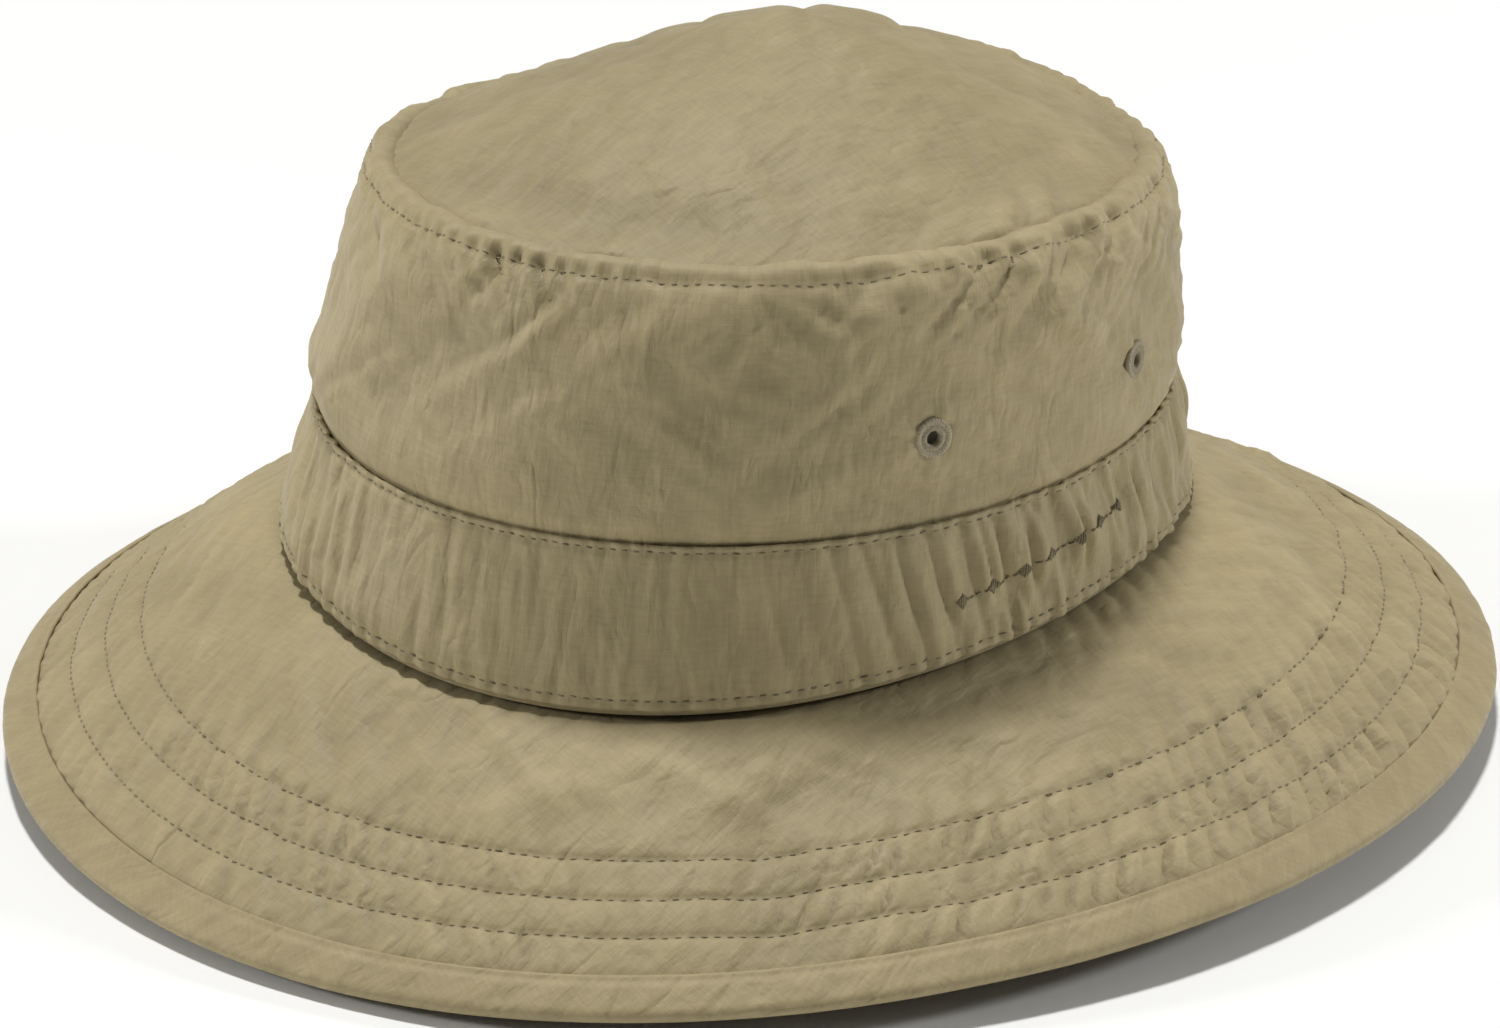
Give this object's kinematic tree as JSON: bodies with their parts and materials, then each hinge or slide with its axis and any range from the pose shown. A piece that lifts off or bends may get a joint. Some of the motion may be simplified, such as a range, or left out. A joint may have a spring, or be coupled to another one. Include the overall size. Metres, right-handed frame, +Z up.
{
  "type": "sun hat",
  "caption": "Soft cloth sun hat with an oval crown, an outer band, whipped vents and a sloping topstitched brim with a bound edge.",
  "frame": {"origin": "on the resting surface, under the middle of the brim's bound edge", "axes": "+Z up, -Y to the front of the hat, +X to the wearer's left"},
  "size_m": [0.299, 0.328, 0.141],
  "materials": {
    "shell_cloth": "crinkled plain-weave nylon, matt with a faint sheen",
    "band_cloth": "crinkled plain-weave nylon, matt with a faint sheen",
    "brim_cloth": "crinkled plain-weave nylon, matt with a faint sheen",
    "binding_cloth": "smooth folded strip of the shell cloth",
    "interlining": "stiff non-woven",
    "sweatband_cloth": "soft brushed wicking knit",
    "elastic": "woven elastic",
    "tape": "woven seam tape",
    "label_satin": "satin ribbon, blank",
    "thread": "spun polyester thread, slightly lustrous"
  },
  "bodies": {
    "root": {"crown_tip": "shell_cloth", "crown_side": "shell_cloth", "crown_band": "band_cloth", "brim_upper": "brim_cloth", "brim_interlining": "interlining", "brim_lower": "brim_cloth", "brim_binding": "binding_cloth", "sweatband": "sweatband_cloth", "rear_elastic": "elastic", "tip_seam_tape": "tape", "back_seam_tape": "tape", "care_label": "label_satin", "size_label": "label_satin", "band_embroidery": "thread", "topstitch_tip": "thread", "topstitch_band_top": "thread", "topstitch_band_base": "thread", "topstitch_binding": "thread", "topstitch_brim_inner": "thread", "topstitch_brim_middle": "thread", "topstitch_brim_outer": "thread", "eyelet_left_front": "thread", "eyelet_left_rear": "thread", "eyelet_right_front": "thread", "eyelet_right_rear": "thread"}
  },
  "joints": []
}
